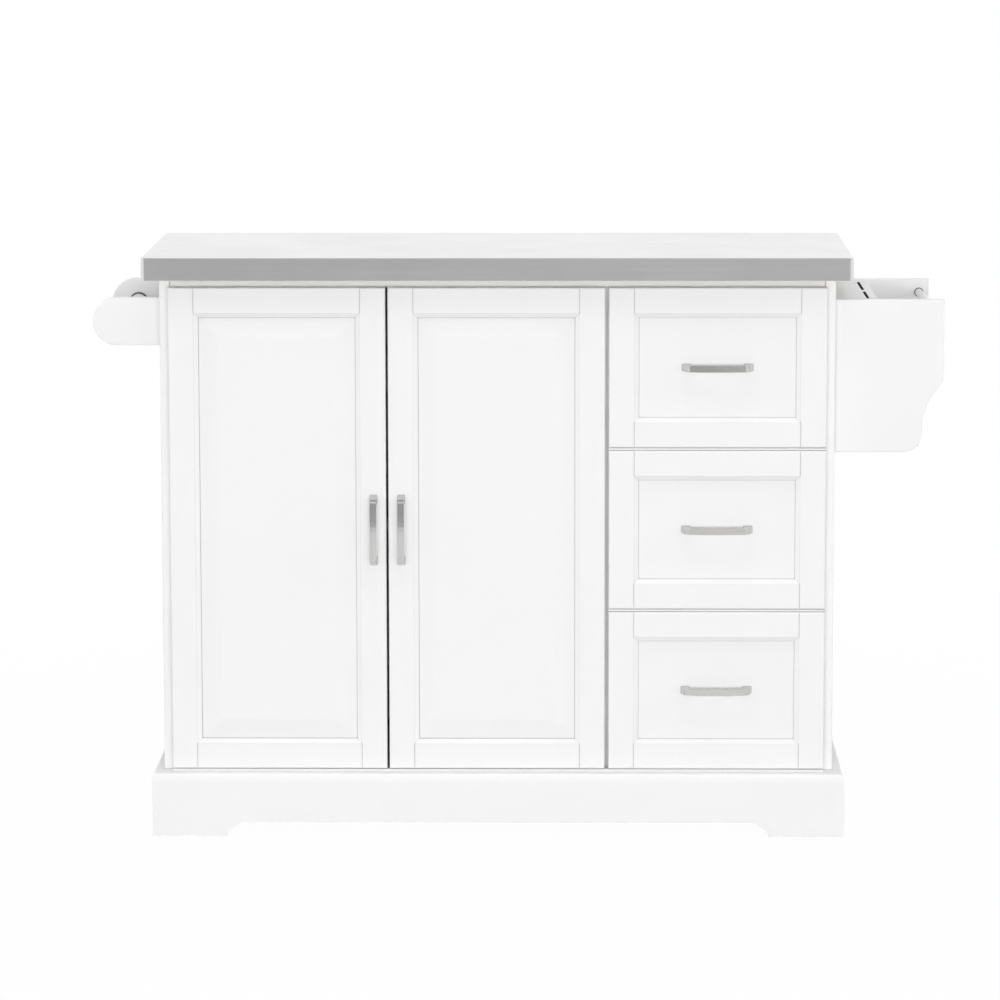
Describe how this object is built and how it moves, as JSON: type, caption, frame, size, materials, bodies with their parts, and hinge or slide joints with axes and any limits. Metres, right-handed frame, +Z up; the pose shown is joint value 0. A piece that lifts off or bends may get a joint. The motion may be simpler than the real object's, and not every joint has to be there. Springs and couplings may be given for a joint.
{
  "type": "rolling kitchen island",
  "caption": "White wooden kitchen island on hidden casters, with a steel worktop, raised-panel doors, a stack of drawers, a towel bar and a side rack for knives and spices.",
  "frame": {"origin": "on the floor, under the middle of the overall box", "axes": "+Z up; +X to the right as seen from the front; +Y from the doors towards the back"},
  "size_m": [1.325, 0.46, 0.914],
  "materials": {
    "white_paint": "satin white paint over wood",
    "worktop_steel": "fine brushed stainless steel",
    "core_board": "raw board",
    "inside_wood": "plain white inside finish",
    "brushed_nickel": "brushed nickel",
    "plated_steel": "bright zinc plating",
    "wheel_rubber": "matt dark grey",
    "brake_steel": "black powder coat"
  },
  "bodies": {
    "cabinet": {"back_panel": "white_paint", "bottom_panel": "white_paint", "caster_plates": "plated_steel", "center_partition": "white_paint", "door_hinge_arms": "plated_steel", "door_shelf": "white_paint", "drawer_dividers": "white_paint", "plinth_back": "white_paint", "plinth_corner_blocks": "white_paint", "plinth_front": "white_paint", "plinth_left": "white_paint", "plinth_right": "white_paint", "rack_back_panel": "white_paint", "rack_backboard": "white_paint", "rack_front_panel": "white_paint", "rack_guard_rods": "white_paint", "rack_knife_guard": "white_paint", "rack_knife_ledge": "white_paint", "rack_shelves": "white_paint", "runner_tracks": "plated_steel", "shelf_pins": "plated_steel", "side_panel_left": "white_paint", "side_panel_right": "white_paint", "top_back_rail": "white_paint", "top_front_rail": "white_paint", "towel_bar": "white_paint", "towel_bracket_back": "white_paint", "towel_bracket_front": "white_paint", "worktop_core": "core_board", "worktop_skin": "worktop_steel"},
    "left_door": {"left_door_frame": "white_paint", "left_door_handle": "brushed_nickel", "left_door_hinge_cups": "plated_steel", "left_door_panel": "white_paint"},
    "right_door": {"right_door_frame": "white_paint", "right_door_handle": "brushed_nickel", "right_door_hinge_cups": "plated_steel", "right_door_panel": "white_paint"},
    "top_drawer": {"drawer_top_box": "inside_wood", "drawer_top_front": "white_paint", "drawer_top_handle": "brushed_nickel", "drawer_top_runners": "plated_steel"},
    "middle_drawer": {"drawer_middle_box": "inside_wood", "drawer_middle_front": "white_paint", "drawer_middle_handle": "brushed_nickel", "drawer_middle_runners": "plated_steel"},
    "bottom_drawer": {"drawer_bottom_box": "inside_wood", "drawer_bottom_front": "white_paint", "drawer_bottom_handle": "brushed_nickel", "drawer_bottom_runners": "plated_steel"},
    "front_left_caster": {"caster_front_left_fork": "plated_steel"},
    "front_left_wheel": {"caster_front_left_wheel": "wheel_rubber"},
    "front_right_caster": {"caster_front_right_fork": "plated_steel"},
    "front_right_wheel": {"caster_front_right_wheel": "wheel_rubber"},
    "rear_left_caster": {"caster_rear_left_fork": "plated_steel"},
    "rear_left_wheel": {"caster_rear_left_wheel": "wheel_rubber"},
    "rear_right_caster": {"caster_rear_right_fork": "plated_steel"},
    "rear_right_wheel": {"caster_rear_right_wheel": "wheel_rubber"},
    "front_left_brake": {"caster_front_left_brake": "brake_steel"},
    "front_right_brake": {"caster_front_right_brake": "brake_steel"}
  },
  "joints": [
    {"name": "left_door_hinge", "type": "hinge", "parent": "cabinet", "child": "left_door", "pos_m": [-0.534, -0.196, 0.4877], "axis": [0, 0, -1], "range_deg": [0, 100]},
    {"name": "right_door_hinge", "type": "hinge", "parent": "cabinet", "child": "right_door", "pos_m": [0.1285, -0.196, 0.4877], "axis": [0, 0, 1], "range_deg": [0, 100]},
    {"name": "top_drawer_slide", "type": "slide", "parent": "cabinet", "child": "top_drawer", "axis": [0, 1, 0], "range_m": [-0.27, 0]},
    {"name": "middle_drawer_slide", "type": "slide", "parent": "cabinet", "child": "middle_drawer", "axis": [0, 1, 0], "range_m": [-0.27, 0]},
    {"name": "bottom_drawer_slide", "type": "slide", "parent": "cabinet", "child": "bottom_drawer", "axis": [0, 1, 0], "range_m": [-0.27, 0]},
    {"name": "front_left_swivel", "type": "hinge", "parent": "cabinet", "child": "front_left_caster", "pos_m": [-0.4765, -0.117, 0.0865], "axis": [0, 0, 1], "continuous": true},
    {"name": "front_left_wheel_spin", "type": "hinge", "parent": "front_left_caster", "child": "front_left_wheel", "pos_m": [-0.4765, -0.141, 0.032], "axis": [1, 0, 0], "continuous": true},
    {"name": "front_left_brake_press", "type": "hinge", "parent": "front_left_caster", "child": "front_left_brake", "pos_m": [-0.4765, -0.141, 0.032], "axis": [1, 0, 0], "range_deg": [0, 18]},
    {"name": "front_right_swivel", "type": "hinge", "parent": "cabinet", "child": "front_right_caster", "pos_m": [0.4135, -0.117, 0.0865], "axis": [0, 0, 1], "continuous": true},
    {"name": "front_right_wheel_spin", "type": "hinge", "parent": "front_right_caster", "child": "front_right_wheel", "pos_m": [0.4135, -0.141, 0.032], "axis": [1, 0, 0], "continuous": true},
    {"name": "front_right_brake_press", "type": "hinge", "parent": "front_right_caster", "child": "front_right_brake", "pos_m": [0.4135, -0.141, 0.032], "axis": [1, 0, 0], "range_deg": [0, 18]},
    {"name": "rear_left_swivel", "type": "hinge", "parent": "cabinet", "child": "rear_left_caster", "pos_m": [-0.4665, 0.12, 0.0865], "axis": [0, 0, 1], "continuous": true},
    {"name": "rear_left_wheel_spin", "type": "hinge", "parent": "rear_left_caster", "child": "rear_left_wheel", "pos_m": [-0.4665, 0.144, 0.032], "axis": [1, 0, 0], "continuous": true},
    {"name": "rear_right_swivel", "type": "hinge", "parent": "cabinet", "child": "rear_right_caster", "pos_m": [0.4035, 0.12, 0.0865], "axis": [0, 0, 1], "continuous": true},
    {"name": "rear_right_wheel_spin", "type": "hinge", "parent": "rear_right_caster", "child": "rear_right_wheel", "pos_m": [0.4035, 0.144, 0.032], "axis": [1, 0, 0], "continuous": true}
  ]
}
